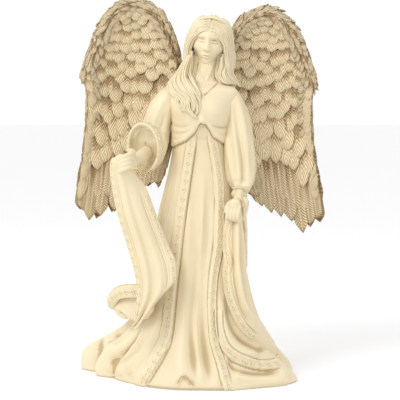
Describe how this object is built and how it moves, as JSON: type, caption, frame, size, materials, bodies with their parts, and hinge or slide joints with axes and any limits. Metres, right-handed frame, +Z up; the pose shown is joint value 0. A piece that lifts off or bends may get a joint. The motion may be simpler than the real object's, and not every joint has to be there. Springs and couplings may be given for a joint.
{
  "type": "angel figurine",
  "caption": "Free-standing cast figure of a winged, robed woman holding out the edges of her robe, with separate wings, sleeves, hands and drapes pinned to a hollow body.",
  "frame": {"origin": "on the underside of the felt pad, under the axis of the figure's torso", "axes": "+Z up; the figure faces -Y; the figure's left-hand side is at +X"},
  "size_m": [0.165, 0.0954, 0.252],
  "materials": {
    "ivory_resin": "ivory painted resin with a thin tan antique wash in the folds, satin",
    "tan_resin": "tan painted resin, brown wash between the feathers and cream dry-brushing on the edges, matt",
    "bare_resin": "unpainted cast resin",
    "felt": "thin needle felt, die cut",
    "dowel_steel": "plain drawn steel, glued in"
  },
  "bodies": {
    "root": {"figure_body": "ivory_resin", "head": "ivory_resin", "right_sleeve": "ivory_resin", "left_sleeve": "ivory_resin", "right_hand": "ivory_resin", "left_hand": "ivory_resin", "right_drape": "ivory_resin", "left_drape": "ivory_resin", "train_curl": "ivory_resin", "left_wing": "tan_resin", "right_wing": "tan_resin", "base_plate": "bare_resin", "felt_pad": "felt", "neck_dowel": "dowel_steel", "right_shoulder_dowel": "dowel_steel", "left_shoulder_dowel": "dowel_steel", "left_wing_dowel_upper": "dowel_steel", "left_wing_dowel_lower": "dowel_steel", "right_wing_dowel_upper": "dowel_steel", "right_wing_dowel_lower": "dowel_steel", "right_wrist_wire": "dowel_steel", "left_wrist_wire": "dowel_steel"}
  },
  "joints": []
}
